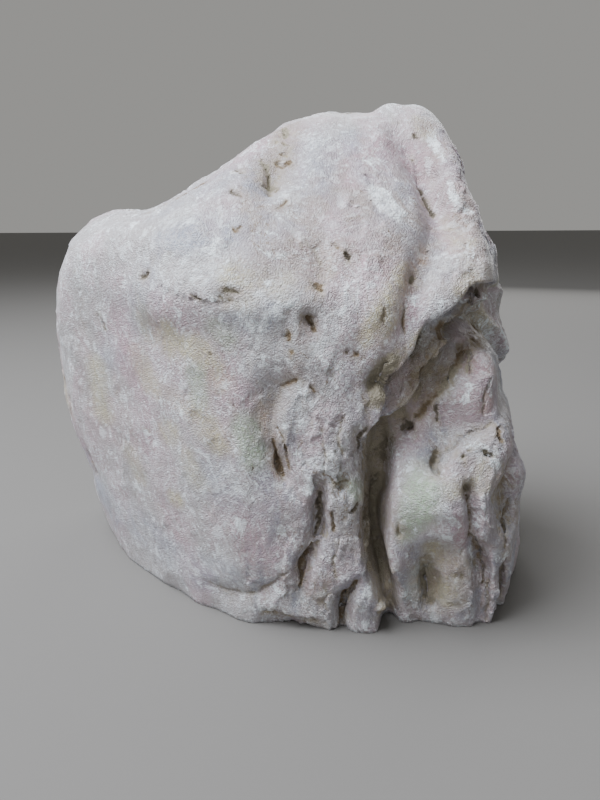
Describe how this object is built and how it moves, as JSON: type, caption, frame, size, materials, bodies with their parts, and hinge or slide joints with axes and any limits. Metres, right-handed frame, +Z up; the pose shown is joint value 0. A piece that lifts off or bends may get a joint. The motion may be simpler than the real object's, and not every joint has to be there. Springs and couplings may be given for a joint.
{
  "type": "soapstone block",
  "caption": "Rough pale pink and white soapstone block with a sloping top, a deep front fissure under an overhang and a flat base, standing ready for carving.",
  "frame": {"origin": "on the flat base, at the middle of the stone's extent along X and Y", "axes": "+Z up, +X to the right along the stone's widest extent, +Y to its back, so the face with the fissure faces -Y"},
  "size_m": [0.2668, 0.176, 0.2428],
  "materials": {
    "soapstone_block": "rough broken surface, pale pink and white with brown dirt in its cracks"
  },
  "bodies": {
    "root": {"soapstone_block": "soapstone_block"}
  },
  "joints": []
}
